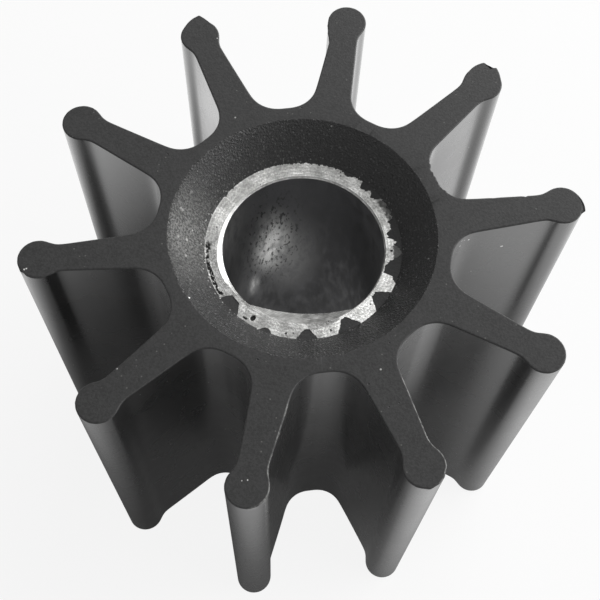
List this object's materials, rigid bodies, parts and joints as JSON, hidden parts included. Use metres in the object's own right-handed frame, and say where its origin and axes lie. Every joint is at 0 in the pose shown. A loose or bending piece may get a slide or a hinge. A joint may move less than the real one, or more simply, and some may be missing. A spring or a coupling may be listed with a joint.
{
  "type": "rubber pump impeller",
  "caption": "Rubber impeller for a flexible-vane pump: straight radial vanes with round edge beads on a hub, moulded onto a fluted metal insert with a D-shaped bore.",
  "frame": {"origin": "on the axis, in the lower end face that the wheel stands on", "axes": "+Z along the shaft axis, towards the upper end; the flat of the bore is on the -Y side"},
  "size_m": [0.0642, 0.0646, 0.0508],
  "materials": {
    "rubber": "matt moulded rubber, slightly dusty",
    "insert_metal": "turned and faced, lightly pitted"
  },
  "bodies": {
    "root": {"vane_wheel": "rubber", "drive_insert": "insert_metal"}
  },
  "joints": []
}
